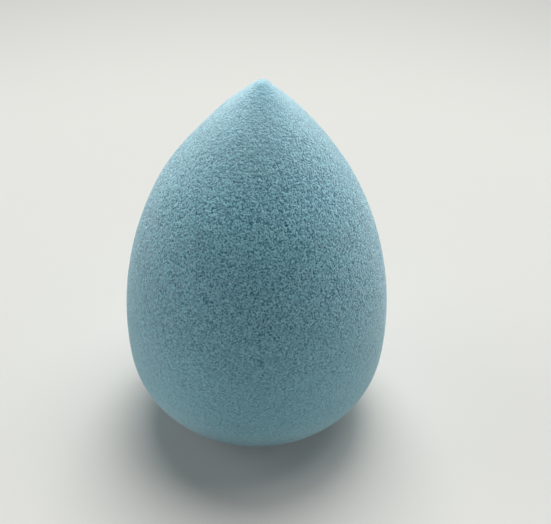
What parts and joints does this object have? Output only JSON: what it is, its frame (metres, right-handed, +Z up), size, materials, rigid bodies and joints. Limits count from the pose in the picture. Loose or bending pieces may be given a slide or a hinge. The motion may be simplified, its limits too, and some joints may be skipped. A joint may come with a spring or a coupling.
{
  "type": "makeup sponge",
  "caption": "Teardrop makeup sponge of soft open-cell foam, pointed at the top and blunt below, standing on a small flat patch and used to dab and blend cosmetics.",
  "frame": {"origin": "centre of the small flat patch that the sponge stands on", "axes": "+Z up along the sponge's axis, from the resting patch to the tip; the sponge is round, so X and Y are free"},
  "size_m": [0.041, 0.041, 0.06],
  "materials": {
    "foam": "matte open-cell polyurethane foam, pale blue, with fine open pores all over"
  },
  "bodies": {
    "root": {"foam_body": "foam"}
  },
  "joints": []
}
